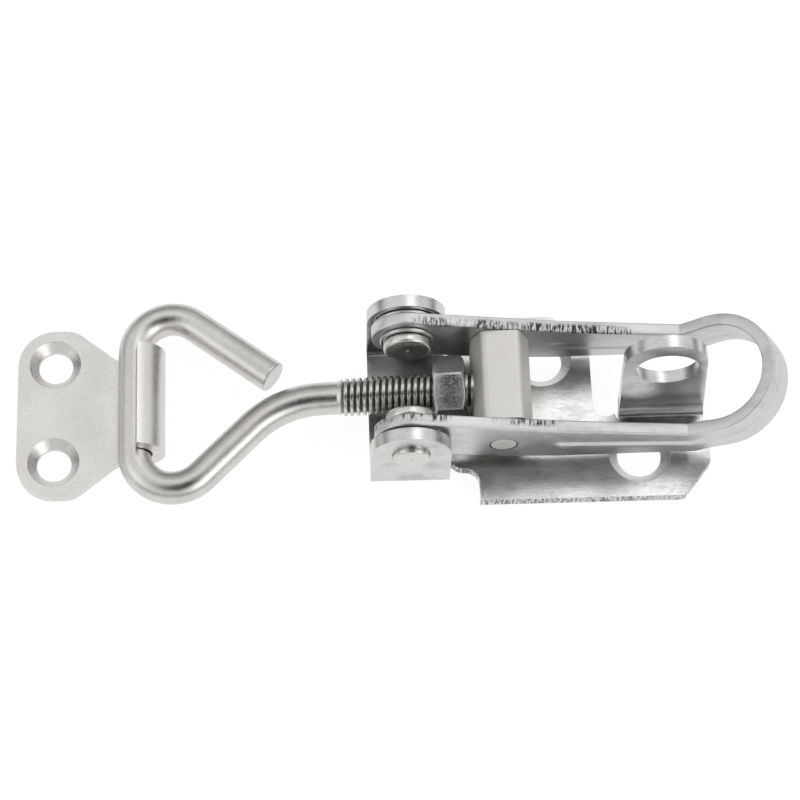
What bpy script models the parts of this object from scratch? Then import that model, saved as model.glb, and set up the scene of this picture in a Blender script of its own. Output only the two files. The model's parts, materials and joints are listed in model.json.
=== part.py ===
"""Toggle bolt latch: an over-centre draw latch with a padlock eye, an M6 hook bolt and a keeper.

The origin is on the base plate's mounting face, straight below the lever's pivot axis, on the centre
plane. +X runs towards the lever's grip, -X towards the keeper, +Z away from the mounting surface.
"""

import math

import bmesh
import bpy
from mathutils import Matrix, Vector

# Sheet metal and running fits (metres)
SHEET = 0.002  # thickness of the base, the lever and the keeper
RUNNING_FIT = 0.00008  # radial clearance of a pin in the hole that turns on it
SIDE_GAP = 0.0001  # clearance between faces that slide past each other
LAP = 0.0005  # how far two shapes overlap where they are joined into one piece
BEND_RADIUS = 0.0008  # inside radius of the pressed bends
ARC_STEP = math.radians(12)  # facet angle of an outline's arcs
ROUND_STEPS = 32  # facets round a turned piece

# Base plate
BASE_WIDTH = 0.0318
EAR_SPAN = 0.0246  # across the outer faces of the two ears
EAR_RADIUS = 0.00625  # half the ear's width, and the round of its top
PIVOT_HEIGHT = 0.0126
NOTCH_WIDTH = 0.0048  # relief notch between an ear and its wing
NOTCH_DEPTH = 0.0055
NEAR_WING_END = 0.0479
FAR_WING_END = 0.024
CORNER_CUT = (0.0045, 0.0056)  # length and width of the near wing's cut corner
MAIN_PLATE_END = 0.02975  # the far half of the plate stops here
SLOT_WIDTH = 0.0041  # open slot between the plate and the padlock eye
SLOT_BOTTOM = -0.002
MOUNT_HOLE_RADIUS = 0.0035
MOUNT_SINK_RADIUS = 0.005
NEAR_MOUNT_HOLE = (0.0367, -0.0085)
FAR_MOUNT_HOLE = (0.0218, 0.0085)

# Padlock eye, bent up out of the base plate
EYE_WIDTH = 0.0135  # at its foot
EYE_LEAN = (-0.0006, -0.0012)  # how far its two sides shift along X from the bend to the top
EYE_HEIGHT = 0.0256
EYE_BEND_RADIUS = 0.0015
EYE_HOLE_RADIUS = 0.00495
EYE_HOLE_X = 0.0401
EYE_HOLE_HEIGHT = 0.0173

# Pivot rivets, one on each side
RIVET_RADIUS = 0.0029
RIVET_HEAD_RADIUS = 0.00375
RIVET_HEAD_THICKNESS = 0.0015
RIVET_TAIL = 0.0008  # length that stands out of the ear
RIVET_CHAMFER = 0.0004
WASHER_THICKNESS = 0.0005
PIVOT_WASHER_RADIUS = 0.0043
SPACER_WASHER_RADIUS = 0.0052

# Lever. Its profile points are X and Z from the pivot axis
LEVER_WIDTH = 0.0192
LEVER_END_RADIUS = 0.0056
LEVER_TOP = ((0.0055, 0.0046), (0.024, 0.0012), (0.0433, -0.0012))
LEVER_BOTTOM = ((0.045, -0.008), (0.024, -0.0084), (0.0146, -0.008))
LOOP_RISE = math.radians(28.5)  # slope of the grip loop above the base
LOOP_HEIGHT = 0.0066  # height of the strip round the loop
LOOP_END = 0.0565  # from the pivot axis to the loop's outermost upper edge, along X
LOOP_RADIUS = 0.0099
LOOP_ROOT = 0.002  # how far the loop's strip runs back into the wall
BEAD_START = (0.0225, -0.0039)
BEAD_END = (0.0405, -0.0047)
BEAD_WIDTH = 0.0026
BEAD_PROUD = 0.0003

# Trunnion, the cross barrel that turns in the lever
TRUNNION_OFFSET = (0.0146, -0.0032)  # from the pivot axis to the trunnion's axis, X and Z
TRUNNION_HALF_WIDTH = 0.0046
TRUNNION_HALF_HEIGHT = 0.0057
TRUNNION_FLAT = 0.0029  # half width of its flat top and bottom
TRUNNION_SHOULDER = 0.0034  # how far the rounded shoulders run down from the flats
BORE_DEPTH = 0.0032  # how far the bolt's bore passes the trunnion's axis
JOURNAL_RADIUS = 0.002

# Hook bolt: M6 shank on a wire that is bent to an open triangle
WIRE_RADIUS = 0.0026
THREAD_RADIUS = 0.003
THREAD_CLEARANCE = 0.00006
PLAIN_SHANK = 0.0026  # plain wire between the thread's end and the first bend
SHANK_CHAMFER = 0.0005
BOLT_REACH = 0.05815  # trunnion axis to the hook's crossbar
NEAR_ARM_SLOPE = math.radians(43.93)  # angle between the near arm and the shank
FAR_ARM_SLOPE = math.radians(38.5)
FAR_ARM_REACH = 0.02205  # how far the far arm runs back from the crossbar, along the shank
ARM_BEND_RADIUS = 0.016
HOOK_CORNERS = (0.0223, 0.0218)  # shank line to the triangle's sharp corners, near and far
HOOK_BENDS = (0.0063, 0.0059)

# Lock nut, M6
NUT_ACROSS_FLATS = 0.010
NUT_THICKNESS = 0.005
NUT_GAP = 0.0009  # between the nut and the trunnion
NUT_TURN = math.radians(24)  # how far a flat is turned from the top towards the near side

# Keeper
KEEPER_HOLE_SPACING = 0.017
KEEPER_HOLE_RADIUS = 0.00275
KEEPER_SINK_RADIUS = 0.00415
KEEPER_EDGE = 0.0059  # from a hole's centre to the plate's edge
KEEPER_REACH = 0.01305  # from the holes to the crossbar
KEEPER_OVERHANG = 0.0002  # how far its neck is wider than the crossbar's straight, at each end
KEEPER_TAPER = 0.007  # length over which the plate narrows to its neck
KEEPER_TAPER_END = 0.0029  # from the taper's end to the crossbar
KEEPER_TIP = math.radians(9)  # how far its rolled tip stops short of the top
WIRE_GAP = 0.0003  # between the crossbar and the keeper's hook

# Places that follow from the sizes above
LEVER_OUTER = LEVER_WIDTH / 2
LEVER_INNER = LEVER_OUTER - SHEET
EAR_OUTER = EAR_SPAN / 2
EAR_INNER = EAR_OUTER - SHEET
PIVOT = Vector((0, 0, PIVOT_HEIGHT))
TRUNNION = PIVOT + Vector((TRUNNION_OFFSET[0], 0, TRUNNION_OFFSET[1]))
NOTCH_START = EAR_RADIUS
WING_START = NOTCH_START + NOTCH_WIDTH
EYE_START = MAIN_PLATE_END + SLOT_WIDTH
EYE_END = EYE_START + EYE_WIDTH
HOOK_INNER = WIRE_RADIUS + WIRE_GAP
HOOK_OUTER = HOOK_INNER + SHEET
CROSSBAR_HEIGHT = SHEET + HOOK_INNER
BOLT_TILT = math.asin((TRUNNION.z - CROSSBAR_HEIGHT) / BOLT_REACH)
BOLT_LINE = Vector((-math.cos(BOLT_TILT), 0, -math.sin(BOLT_TILT)))
CROSSBAR = TRUNNION + BOLT_LINE * BOLT_REACH
NUT_CENTRE = TRUNNION + BOLT_LINE * (TRUNNION_HALF_WIDTH + NUT_GAP + NUT_THICKNESS / 2)
ARM_START = BOLT_REACH - HOOK_CORNERS[0] / math.tan(NEAR_ARM_SLOPE)
THREAD_END = ARM_START - ARM_BEND_RADIUS * math.tan(NEAR_ARM_SLOPE / 2) - PLAIN_SHANK
CROSSBAR_ENDS = [
    side * (corner - bend / math.tan((math.pi / 2 - slope) / 2))
    for side, corner, bend, slope in zip((-1, 1), HOOK_CORNERS, HOOK_BENDS, (NEAR_ARM_SLOPE, FAR_ARM_SLOPE))
]


def clear_scene():
    for obj in list(bpy.data.objects):
        bpy.data.objects.remove(obj, do_unlink=True)


def metal(name, colour, roughness):
    """A bare plated steel: full metallic, with its own colour and roughness."""
    material = bpy.data.materials.new(name)
    material.use_nodes = True
    shader = material.node_tree.nodes["Principled BSDF"]
    shader.inputs["Base Color"].default_value = (*colour, 1)
    shader.inputs["Metallic"].default_value = 1
    shader.inputs["Roughness"].default_value = roughness
    material.diffuse_color = (*colour, 1)
    return material


def arc(centre, radius, start, end):
    """Points on a circle from one angle to the other, both included."""
    steps = max(2, math.ceil(abs(end - start) / ARC_STEP))
    angles = [start + (end - start) * i / steps for i in range(steps + 1)]
    return [(centre[0] + radius * math.cos(a), centre[1] + radius * math.sin(a)) for a in angles]


def filleted(corners):
    """An open path through corners (x, y, radius), with an arc of that radius at each inner corner."""
    points = [Vector(corners[0][:2])]
    for before, corner, after in zip(corners, corners[1:], corners[2:]):
        here, radius = Vector(corner[:2]), corner[2]
        back = (Vector(before[:2]) - here).normalized()
        ahead = (Vector(after[:2]) - here).normalized()
        half = back.angle(ahead) / 2
        if radius == 0 or half > math.radians(89.9):
            points.append(here)
            continue
        centre = here + (back + ahead).normalized() * radius / math.sin(half)
        first = here + back * radius / math.tan(half) - centre
        last = here + ahead * radius / math.tan(half) - centre
        start = math.atan2(first.y, first.x)
        turn = (math.atan2(last.y, last.x) - start + math.pi) % math.tau - math.pi
        points += [Vector(p) for p in arc(centre, radius, start, start + turn)]
    return points + [Vector(corners[-1][:2])]


def rounded(corners):
    """A closed outline through corners (x, y, radius), starting half way along its first side."""
    first, second = corners[0], corners[1]
    middle = ((first[0] + second[0]) / 2, (first[1] + second[1]) / 2, 0)
    return filleted([middle, *corners[1:], first, middle])[:-1]


def add_object(name, bm):
    bmesh.ops.remove_doubles(bm, verts=bm.verts, dist=1e-7)
    bmesh.ops.recalc_face_normals(bm, faces=bm.faces)
    mesh = bpy.data.meshes.new(name)
    bm.to_mesh(mesh)
    bm.free()
    obj = bpy.data.objects.new(name, mesh)
    bpy.context.scene.collection.objects.link(obj)
    return obj


def prism(name, outline, axis, low, high):
    """A flat outline, extruded along X, Y or Z from low to high. The outline is in the other two axes."""
    place = {
        "X": lambda a, b: (low, a, b),
        "Y": lambda a, b: (a, low, b),
        "Z": lambda a, b: (a, b, low),
    }[axis]
    bm = bmesh.new()
    face = bm.faces.new([bm.verts.new(place(p[0], p[1])) for p in outline])
    moved = bmesh.ops.extrude_face_region(bm, geom=[face])["geom"]
    along = Vector([high - low if axis == name_ else 0 for name_ in "XYZ"])
    bmesh.ops.translate(bm, verts=[v for v in moved if isinstance(v, bmesh.types.BMVert)], vec=along)
    return add_object(name, bm)


def turned(name, profile, place):
    """A closed profile of (radius, along) points, spun about Z, then put where a matrix says."""
    bm = bmesh.new()
    ring = [bm.verts.new((radius, 0, along)) for radius, along in profile]
    edges = [bm.edges.new(pair) for pair in zip(ring, ring[1:] + ring[:1])]
    bmesh.ops.spin(
        bm, geom=ring + edges, cent=(0, 0, 0), axis=(0, 0, 1), angle=math.tau, steps=ROUND_STEPS, use_merge=True
    )
    bmesh.ops.remove_doubles(bm, verts=bm.verts, dist=1e-7)
    axis_edges = [e for e in bm.edges if all(v.co.xy.length < 1e-9 for v in e.verts)]
    bmesh.ops.delete(bm, geom=axis_edges, context="EDGES")
    bmesh.ops.transform(bm, matrix=place, verts=bm.verts)
    return add_object(name, bm)


def along_y(x, z):
    """Puts a turned piece's own Z axis on world +Y, through (x, z)."""
    return Matrix.Translation((x, 0, z)) @ Matrix.Rotation(-math.pi / 2, 4, "X")


def combine(obj, other, operation):
    """A Boolean that keeps the other object as a hidden wire guide, which follows the piece."""
    other.parent = obj
    other.hide_render = True
    other.hide_viewport = True
    other.display_type = "WIRE"
    modifier = obj.modifiers.new(f"{operation.title()} {other.name}", "BOOLEAN")
    modifier.object = other
    modifier.operation = operation
    modifier.solver = "EXACT"
    return obj


def cylinder(name, radius, low, high, place):
    return turned(name, [(0, low), (radius, low), (radius, high), (0, high)], place)


def countersink(name, centre, hole, sink):
    """A screw hole with a 90 degree countersink in the sheet's upper face."""
    over = SHEET
    profile = [
        (0, -over),
        (hole, -over),
        (hole, SHEET - (sink - hole)),
        (sink + over, SHEET + over),
        (0, SHEET + over),
    ]
    return turned(name, profile, Matrix.Translation((*centre, 0)))


def add_joint(name, centre, parent=None):
    """An empty on a joint's axis. The pieces that move together hang from it."""
    empty = bpy.data.objects.new(name, None)
    empty.empty_display_size = 0.01
    empty["centre"] = centre
    empty.parent = parent
    empty.location = centre - Vector(parent["centre"]) if parent else centre
    bpy.context.scene.collection.objects.link(empty)
    return empty


def hang(piece, joint):
    piece.parent = joint
    piece.location = -Vector(joint["centre"])


def finish(obj, material):
    obj.data.materials.append(material)
    obj.data.shade_smooth()
    obj.data.set_sharp_from_angle(angle=math.radians(35))
    return obj


def base_outline():
    """The flat of the base plate, seen from above."""
    half = BASE_WIDTH / 2
    bend_line = EAR_OUTER - SHEET - BEND_RADIUS
    notch_end = half - NOTCH_DEPTH
    notch_round = NOTCH_WIDTH / 2 * 0.98
    joined = bend_line - LAP
    slot_round = SLOT_WIDTH / 2
    slot_centre = (MAIN_PLATE_END + slot_round, SLOT_BOTTOM + slot_round)
    eye_joined = -SHEET / 2 - EYE_BEND_RADIUS - LAP
    slot_arc = arc(slot_centre, slot_round, math.radians(-50), -math.pi)
    near_side = [
        (-EAR_RADIUS + LAP, -joined, 0),
        (NOTCH_START, -joined, 0),
        (NOTCH_START, -notch_end, notch_round),
        (WING_START, -notch_end, notch_round),
        (WING_START, -half, 0),
        (NEAR_WING_END - CORNER_CUT[0], -half, 0.001),
        (NEAR_WING_END, -half + CORNER_CUT[1], 0.001),
        (NEAR_WING_END, eye_joined, 0),
        (EYE_START, eye_joined, 0),
    ]
    far_side = [
        (MAIN_PLATE_END, half - CORNER_CUT[1], 0.001),
        (FAR_WING_END, half, 0.001),
        (WING_START, half, 0),
        (WING_START, notch_end, notch_round),
        (NOTCH_START, notch_end, notch_round),
        (NOTCH_START, joined, 0),
        (-EAR_RADIUS + LAP, joined, 0),
    ]
    corners = near_side + [(x, y, 0) for x, y in slot_arc] + far_side
    return rounded([corners[-1], *corners[:-1]])


def pressed_channel():
    """Section of the sheet across the ears: floor, two bends and two upright ears."""
    top = PIVOT_HEIGHT + 2 * EAR_RADIUS
    outer = BEND_RADIUS + SHEET
    return rounded(
        [
            (-EAR_OUTER, top, 0),
            (-EAR_OUTER, 0, outer),
            (EAR_OUTER, 0, outer),
            (EAR_OUTER, top, 0),
            (EAR_INNER, top, 0),
            (EAR_INNER, SHEET, BEND_RADIUS),
            (-EAR_INNER, SHEET, BEND_RADIUS),
            (-EAR_INNER, top, 0),
        ]
    )


def upright_outline(middle, width, top):
    """An upright with a half-round top, in X and Z."""
    half = width / 2
    return [(middle - half, -SHEET), (middle + half, -SHEET), *arc((middle, top - half), half, 0, math.pi)]


def eye_outline():
    """The padlock eye from the front, in X and Z: nearly half-round, narrower and shifted at the top."""
    left, right = EYE_START + EYE_LEAN[0], EYE_END + EYE_LEAN[1]
    half = (right - left) / 2
    foot = SHEET + EYE_BEND_RADIUS
    crown = arc(((left + right) / 2, EYE_HEIGHT - half), half, 0, math.pi)
    return [(EYE_START, foot), (EYE_START, -SHEET), (EYE_END, -SHEET), (EYE_END, foot), *crown]


def make_base(material):
    base = prism("base_plate", base_outline(), "Z", 0, SHEET)
    ears = prism("ear_channel", pressed_channel(), "X", -EAR_RADIUS, EAR_RADIUS)
    ear_shape = upright_outline(0, 2 * EAR_RADIUS, PIVOT_HEIGHT + EAR_RADIUS)
    combine(ears, prism("ear_shape", ear_shape, "Y", -BASE_WIDTH, BASE_WIDTH), "INTERSECT")
    combine(base, ears, "UNION")

    front, back = -SHEET / 2, SHEET / 2
    eye_section = rounded(
        [
            (front - 4 * SHEET, 0, 0),
            (back, 0, EYE_BEND_RADIUS + SHEET),
            (back, EYE_HEIGHT + SHEET, 0),
            (front, EYE_HEIGHT + SHEET, 0),
            (front, SHEET, EYE_BEND_RADIUS),
            (front - 4 * SHEET, SHEET, 0),
        ]
    )
    eye = prism("eye_strip", eye_section, "X", EYE_START + EYE_LEAN[0] - LAP, EYE_END)
    combine(eye, prism("eye_shape", eye_outline(), "Y", -BASE_WIDTH, BASE_WIDTH), "INTERSECT")
    combine(base, eye, "UNION")

    pivot_hole = RIVET_RADIUS + RUNNING_FIT
    through = BASE_WIDTH
    cutters = [
        cylinder("pivot_holes", pivot_hole, -through, through, along_y(0, PIVOT_HEIGHT)),
        cylinder("eye_hole", EYE_HOLE_RADIUS, -through, through, along_y(EYE_HOLE_X, EYE_HOLE_HEIGHT)),
        countersink("near_mount_hole", NEAR_MOUNT_HOLE, MOUNT_HOLE_RADIUS, MOUNT_SINK_RADIUS),
        countersink("far_mount_hole", FAR_MOUNT_HOLE, MOUNT_HOLE_RADIUS, MOUNT_SINK_RADIUS),
    ]
    for cutter in cutters:
        combine(base, cutter, "DIFFERENCE")
    return finish(base, material)


def make_rivet(name, side, material):
    """Stub rivet: flat inner head, shank through washer, lever, spacer and ear, and a chamfered tail."""
    head_back = LEVER_INNER - SIDE_GAP - WASHER_THICKNESS - SIDE_GAP
    head_front = head_back - RIVET_HEAD_THICKNESS
    tail = EAR_OUTER + RIVET_TAIL
    edge = RIVET_CHAMFER
    profile = [
        (0, head_front),
        (RIVET_HEAD_RADIUS - edge, head_front),
        (RIVET_HEAD_RADIUS, head_front + edge),
        (RIVET_HEAD_RADIUS, head_back),
        (RIVET_RADIUS, head_back),
        (RIVET_RADIUS, tail - edge),
        (RIVET_RADIUS - edge, tail),
        (0, tail),
    ]
    turn = Matrix.Rotation(0 if side > 0 else math.pi, 4, "Z")
    return finish(turned(name, profile, turn @ along_y(0, PIVOT_HEIGHT)), material)


def make_washer(name, side, inner_face, radius, material):
    """A flat ring on the rivet's shank."""
    bore = RIVET_RADIUS + RUNNING_FIT
    outer_face = inner_face + WASHER_THICKNESS
    profile = [(bore, inner_face), (radius, inner_face), (radius, outer_face), (bore, outer_face)]
    turn = Matrix.Rotation(0 if side > 0 else math.pi, 4, "Z")
    return finish(turned(name, profile, turn @ along_y(0, PIVOT_HEIGHT)), material)


def wall_outline():
    """Side of the lever in X and Z: round about the pivot, tapering to the root of the loop."""

    def tangent(point, sign):
        """Angle of the point where a line from outside touches the round end."""
        return math.atan2(point[1], point[0]) + sign * math.acos(LEVER_END_RADIUS / math.hypot(*point))

    start = tangent(LEVER_TOP[0], 1)
    end = tangent(LEVER_BOTTOM[-1], -1) + math.tau
    outline = [*reversed(LEVER_TOP), *arc((0, 0), LEVER_END_RADIUS, start, end), *reversed(LEVER_BOTTOM)]
    return [(x, PIVOT_HEIGHT + z) for x, z in outline]


def loop_outline():
    """The grip loop in its own plane: two legs that spread slightly, joined by a half circle."""
    leg = (LOOP_END - LEVER_TOP[-1][0]) / math.cos(LOOP_RISE) - LOOP_RADIUS
    inner = LOOP_RADIUS - SHEET
    outside = arc((leg, 0), LOOP_RADIUS, -math.pi / 2, math.pi / 2)
    inside = arc((leg, 0), inner, math.pi / 2, -math.pi / 2)
    return [
        (-LOOP_ROOT, -LEVER_OUTER),
        (0, -LEVER_OUTER),
        *outside,
        (0, LEVER_OUTER),
        (-LOOP_ROOT, LEVER_OUTER),
        (-LOOP_ROOT, LEVER_INNER),
        (0, LEVER_INNER),
        *inside,
        (0, -LEVER_INNER),
        (-LOOP_ROOT, -LEVER_INNER),
    ]


def make_lever(material):
    outline = wall_outline()
    lever = prism("lever", outline, "Y", -LEVER_OUTER, -LEVER_INNER)
    far_wall = prism("lever_far_wall", outline, "Y", LEVER_INNER, LEVER_OUTER)
    loop = prism("lever_loop", loop_outline(), "Z", -LOOP_HEIGHT, 0)
    tilt = Matrix.Rotation(-LOOP_RISE, 4, "Y")
    loop.data.transform(Matrix.Translation((LEVER_TOP[-1][0], 0, PIVOT_HEIGHT + LEVER_TOP[-1][1])) @ tilt)
    combine(lever, loop, "UNION")
    combine(lever, far_wall, "UNION")
    start, end = (Vector((x, PIVOT_HEIGHT + z)) for x, z in (BEAD_START, BEAD_END))
    slope = math.atan2(end.y - start.y, end.x - start.x)
    quarter = math.pi / 2
    bead = [
        *arc(end, BEAD_WIDTH / 2, slope - quarter, slope + quarter),
        *arc(start, BEAD_WIDTH / 2, slope + quarter, slope + 3 * quarter),
    ]
    for name, low, high in (
        ("near_bead", -LEVER_OUTER - BEAD_PROUD, -LEVER_OUTER + SHEET / 2),
        ("far_bead", LEVER_OUTER - SHEET / 2, LEVER_OUTER + BEAD_PROUD),
    ):
        combine(lever, prism(name, bead, "Y", low, high), "UNION")
    through = LEVER_WIDTH
    holes = (
        ("lever_pivot_holes", RIVET_RADIUS + RUNNING_FIT, PIVOT),
        ("lever_journal_holes", JOURNAL_RADIUS + RUNNING_FIT, TRUNNION),
    )
    for name, radius, axis in holes:
        combine(lever, cylinder(name, radius, -through, through, along_y(axis.x, axis.z)), "DIFFERENCE")
    return finish(lever, material)


def shank_place():
    """Puts a piece's own +X on the bolt's line, from the trunnion's axis towards the hook."""
    return Matrix.Translation(TRUNNION) @ Matrix.Rotation(math.pi - BOLT_TILT, 4, "Y")


def make_trunnion(material):
    """Block with a flat top, a journal at each end and a blind bore for the bolt's thread in its side."""
    wide, high = TRUNNION_HALF_WIDTH, TRUNNION_HALF_HEIGHT
    low = high - TRUNNION_SHOULDER
    right = [(wide, -low, 0.0022), (wide, low, 0.0022), (TRUNNION_FLAT, high, 0.0012)]
    top = [(-TRUNNION_FLAT, high, 0.0012), (-wide, low, 0.0022), (-wide, -low, 0.0022)]
    bottom = [(-TRUNNION_FLAT, -high, 0.0012), (TRUNNION_FLAT, -high, 0.0012)]
    section = [(TRUNNION.x + x, TRUNNION.z + z) for x, z in rounded(right + top + bottom)]
    trunnion = prism("trunnion", section, "Y", -LEVER_INNER + SIDE_GAP, LEVER_INNER - SIDE_GAP)
    end = LEVER_OUTER - SIDE_GAP / 2
    combine(trunnion, cylinder("journals", JOURNAL_RADIUS, -end, end, along_y(TRUNNION.x, TRUNNION.z)), "UNION")
    lie = shank_place() @ Matrix.Rotation(math.pi / 2, 4, "Y")
    bore = cylinder("trunnion_bore", THREAD_RADIUS + THREAD_CLEARANCE, -BORE_DEPTH, 2 * wide, lie)
    combine(trunnion, bore, "DIFFERENCE")
    return finish(trunnion, material)


def hook_path():
    """Centre line of the bent wire beyond the shank, from the trunnion's axis: (along, across)."""
    tip_y = HOOK_CORNERS[1] - math.tan(FAR_ARM_SLOPE) * FAR_ARM_REACH
    return filleted(
        [
            (0, 0, 0),
            (ARM_START, 0, ARM_BEND_RADIUS),
            (BOLT_REACH, -HOOK_CORNERS[0], HOOK_BENDS[0]),
            (BOLT_REACH, HOOK_CORNERS[1], HOOK_BENDS[1]),
            (BOLT_REACH - FAR_ARM_REACH, tip_y, 0),
        ]
    )[1:]


def make_hook_bolt(material):
    """A curve with a round bevel, thicker over the thread's length, bent in one plane."""
    end = WIRE_GAP - BORE_DEPTH
    chamfer = SHANK_CHAMFER
    wire = 1.0
    thread = THREAD_RADIUS / WIRE_RADIUS
    stations = [
        (end, 0, (THREAD_RADIUS - chamfer) / WIRE_RADIUS),
        (end + chamfer, 0, thread),
        (THREAD_END - chamfer, 0, thread),
        (THREAD_END, 0, wire),
    ]
    stations += [(x, y, wire) for x, y in hook_path()]
    curve = bpy.data.curves.new("hook_bolt", "CURVE")
    curve.dimensions = "3D"
    curve.bevel_depth = WIRE_RADIUS
    curve.bevel_resolution = 4
    curve.use_fill_caps = True
    spline = curve.splines.new("POLY")
    spline.points.add(len(stations) - 1)
    place = shank_place()
    for point, (x, y, radius) in zip(spline.points, stations):
        point.co = (*(place @ Vector((x, y, 0))), 1)
        point.radius = radius
    curve.materials.append(material)
    obj = bpy.data.objects.new("hook_bolt", curve)
    bpy.context.scene.collection.objects.link(obj)
    return obj


def make_nut(material):
    """Hexagon prism on the shank, with its corners turned down at both ends and a plain bore."""
    start = TRUNNION_HALF_WIDTH + NUT_GAP
    end = start + NUT_THICKNESS
    corner = NUT_ACROSS_FLATS / 2 / math.cos(math.pi / 6)
    turn = NUT_TURN + math.pi / 6
    outline = [
        (corner * math.sin(turn + k * math.pi / 3), corner * math.cos(turn + k * math.pi / 3)) for k in range(6)
    ]
    nut = prism("lock_nut", outline, "X", start, end)
    nut.data.transform(shank_place())
    lie = shank_place() @ Matrix.Rotation(math.pi / 2, 4, "Y")
    face = NUT_ACROSS_FLATS / 2 * 0.96
    wide = corner * 1.1
    slope = (wide - face) * math.tan(math.pi / 6)
    lens = [(0, start), (face, start), (wide, start + slope), (wide, end - slope), (face, end), (0, end)]
    combine(nut, turned("nut_lens", lens, lie), "INTERSECT")
    bore = cylinder("nut_bore", THREAD_RADIUS + THREAD_CLEARANCE, -end, 2 * end, lie)
    combine(nut, bore, "DIFFERENCE")
    return finish(nut, material)


def make_keeper(material):
    """Catch plate: its neck passes under the crossbar and curls up over it."""
    bar = CROSSBAR.x
    holes = bar - KEEPER_REACH
    left = holes - KEEPER_EDGE
    half = KEEPER_HOLE_SPACING / 2 + KEEPER_EDGE
    middle = sum(CROSSBAR_ENDS) / 2
    quarter = math.pi / 2
    section = [
        (left, 0),
        *arc((bar, CROSSBAR_HEIGHT), HOOK_OUTER, -quarter, quarter - KEEPER_TIP),
        *arc((bar, CROSSBAR_HEIGHT), HOOK_INNER, quarter - KEEPER_TIP, -quarter),
        (left, SHEET),
    ]
    keeper = prism("keeper", section, "Y", middle - half, middle + half)
    taper_end = bar - KEEPER_TAPER_END
    neck = (CROSSBAR_ENDS[1] - CROSSBAR_ENDS[0]) / 2 + KEEPER_OVERHANG
    right = bar + 2 * HOOK_OUTER
    shoulder = taper_end - KEEPER_TAPER
    plan = rounded(
        [
            (left, middle, 0),
            (left, middle - half, KEEPER_EDGE),
            (shoulder, middle - half, 0.004),
            (taper_end, middle - neck, 0.003),
            (right, middle - neck, 0),
            (right, middle + neck, 0),
            (taper_end, middle + neck, 0.003),
            (shoulder, middle + half, 0.004),
            (left, middle + half, KEEPER_EDGE),
        ]
    )
    combine(keeper, prism("keeper_plan", plan, "Z", -SHEET, 2 * CROSSBAR_HEIGHT + SHEET), "INTERSECT")
    for side, name in ((-1, "near_keeper_hole"), (1, "far_keeper_hole")):
        centre = (holes, middle + side * KEEPER_HOLE_SPACING / 2)
        combine(keeper, countersink(name, centre, KEEPER_HOLE_RADIUS, KEEPER_SINK_RADIUS), "DIFFERENCE")
    return finish(keeper, material)


def main():
    clear_scene()
    polished = metal("polished plate", (0.63, 0.63, 0.62), 0.16)
    satin = metal("satin plate", (0.65, 0.635, 0.615), 0.3)

    latch = add_joint("latch", Vector())
    lever_pivot = add_joint("lever_pivot", PIVOT, latch)
    trunnion_pivot = add_joint("trunnion_pivot", TRUNNION, lever_pivot)
    nut_axis = add_joint("nut_axis", NUT_CENTRE, trunnion_pivot)
    crossbar_axis = add_joint("crossbar_axis", CROSSBAR, trunnion_pivot)

    hang(make_base(polished), latch)
    pivot_washer = LEVER_INNER - SIDE_GAP - WASHER_THICKNESS
    spacer_washer = LEVER_OUTER + (EAR_INNER - LEVER_OUTER - WASHER_THICKNESS) / 2
    for side, name in ((-1, "near"), (1, "far")):
        hang(make_rivet(f"pivot_rivet_{name}", side, satin), latch)
        hang(make_washer(f"pivot_washer_{name}", side, pivot_washer, PIVOT_WASHER_RADIUS, polished), latch)
        hang(make_washer(f"spacer_washer_{name}", side, spacer_washer, SPACER_WASHER_RADIUS, polished), latch)
    hang(make_lever(polished), lever_pivot)
    hang(make_trunnion(satin), trunnion_pivot)
    hang(make_hook_bolt(satin), trunnion_pivot)
    hang(make_nut(polished), nut_axis)
    hang(make_keeper(satin), crossbar_axis)


main()
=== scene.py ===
"""Visual model of a toggle bolt latch: plated sheet steel, a threaded hook bolt and its keeper.

Each operator makes one piece, or one group of like pieces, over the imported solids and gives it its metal.
Sizes are in metres. +X runs to the lever's grip, -X to the keeper, +Z away from the mounting face.
"""

import json
import math

import bmesh
import bpy
import numpy as np
from bpy.props import FloatProperty, FloatVectorProperty, PointerProperty
from mathutils import Matrix, Vector


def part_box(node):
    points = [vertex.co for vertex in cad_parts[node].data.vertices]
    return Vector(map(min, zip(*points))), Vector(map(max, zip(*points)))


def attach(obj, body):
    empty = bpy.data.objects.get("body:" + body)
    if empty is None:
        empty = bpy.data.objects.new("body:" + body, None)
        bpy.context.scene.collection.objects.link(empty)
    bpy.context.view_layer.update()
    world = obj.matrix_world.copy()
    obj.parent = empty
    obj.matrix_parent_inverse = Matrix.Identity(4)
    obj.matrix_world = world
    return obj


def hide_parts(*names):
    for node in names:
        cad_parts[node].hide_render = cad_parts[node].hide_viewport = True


bl_info = {
    "name": "Toggle bolt latch",
    "version": (1, 0, 0),
    "blender": (4, 5, 0),
    "location": "View3D > Sidebar > Latch",
    "description": "Makes the plated surfaces of a toggle bolt latch",
    "category": "Object",
}

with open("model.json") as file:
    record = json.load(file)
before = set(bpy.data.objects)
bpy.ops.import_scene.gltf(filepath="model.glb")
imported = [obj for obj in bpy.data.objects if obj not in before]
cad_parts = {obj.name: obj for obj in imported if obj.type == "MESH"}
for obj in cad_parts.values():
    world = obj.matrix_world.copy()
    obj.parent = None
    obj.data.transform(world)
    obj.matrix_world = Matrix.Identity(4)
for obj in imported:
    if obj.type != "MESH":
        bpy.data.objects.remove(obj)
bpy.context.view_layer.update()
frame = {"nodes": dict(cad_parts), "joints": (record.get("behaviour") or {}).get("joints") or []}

MM = 0.001
JOINTS = {joint["name"]: joint for joint in frame["joints"]}
PIVOT = np.array(JOINTS["lever_hinge"]["pos_m"])
TRUNNION = np.array(JOINTS["trunnion_hinge"]["pos_m"])
CROSSBAR = np.array(JOINTS["keeper_swing"]["pos_m"])
ACROSS = np.array((0.0, 1.0, 0.0))
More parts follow.
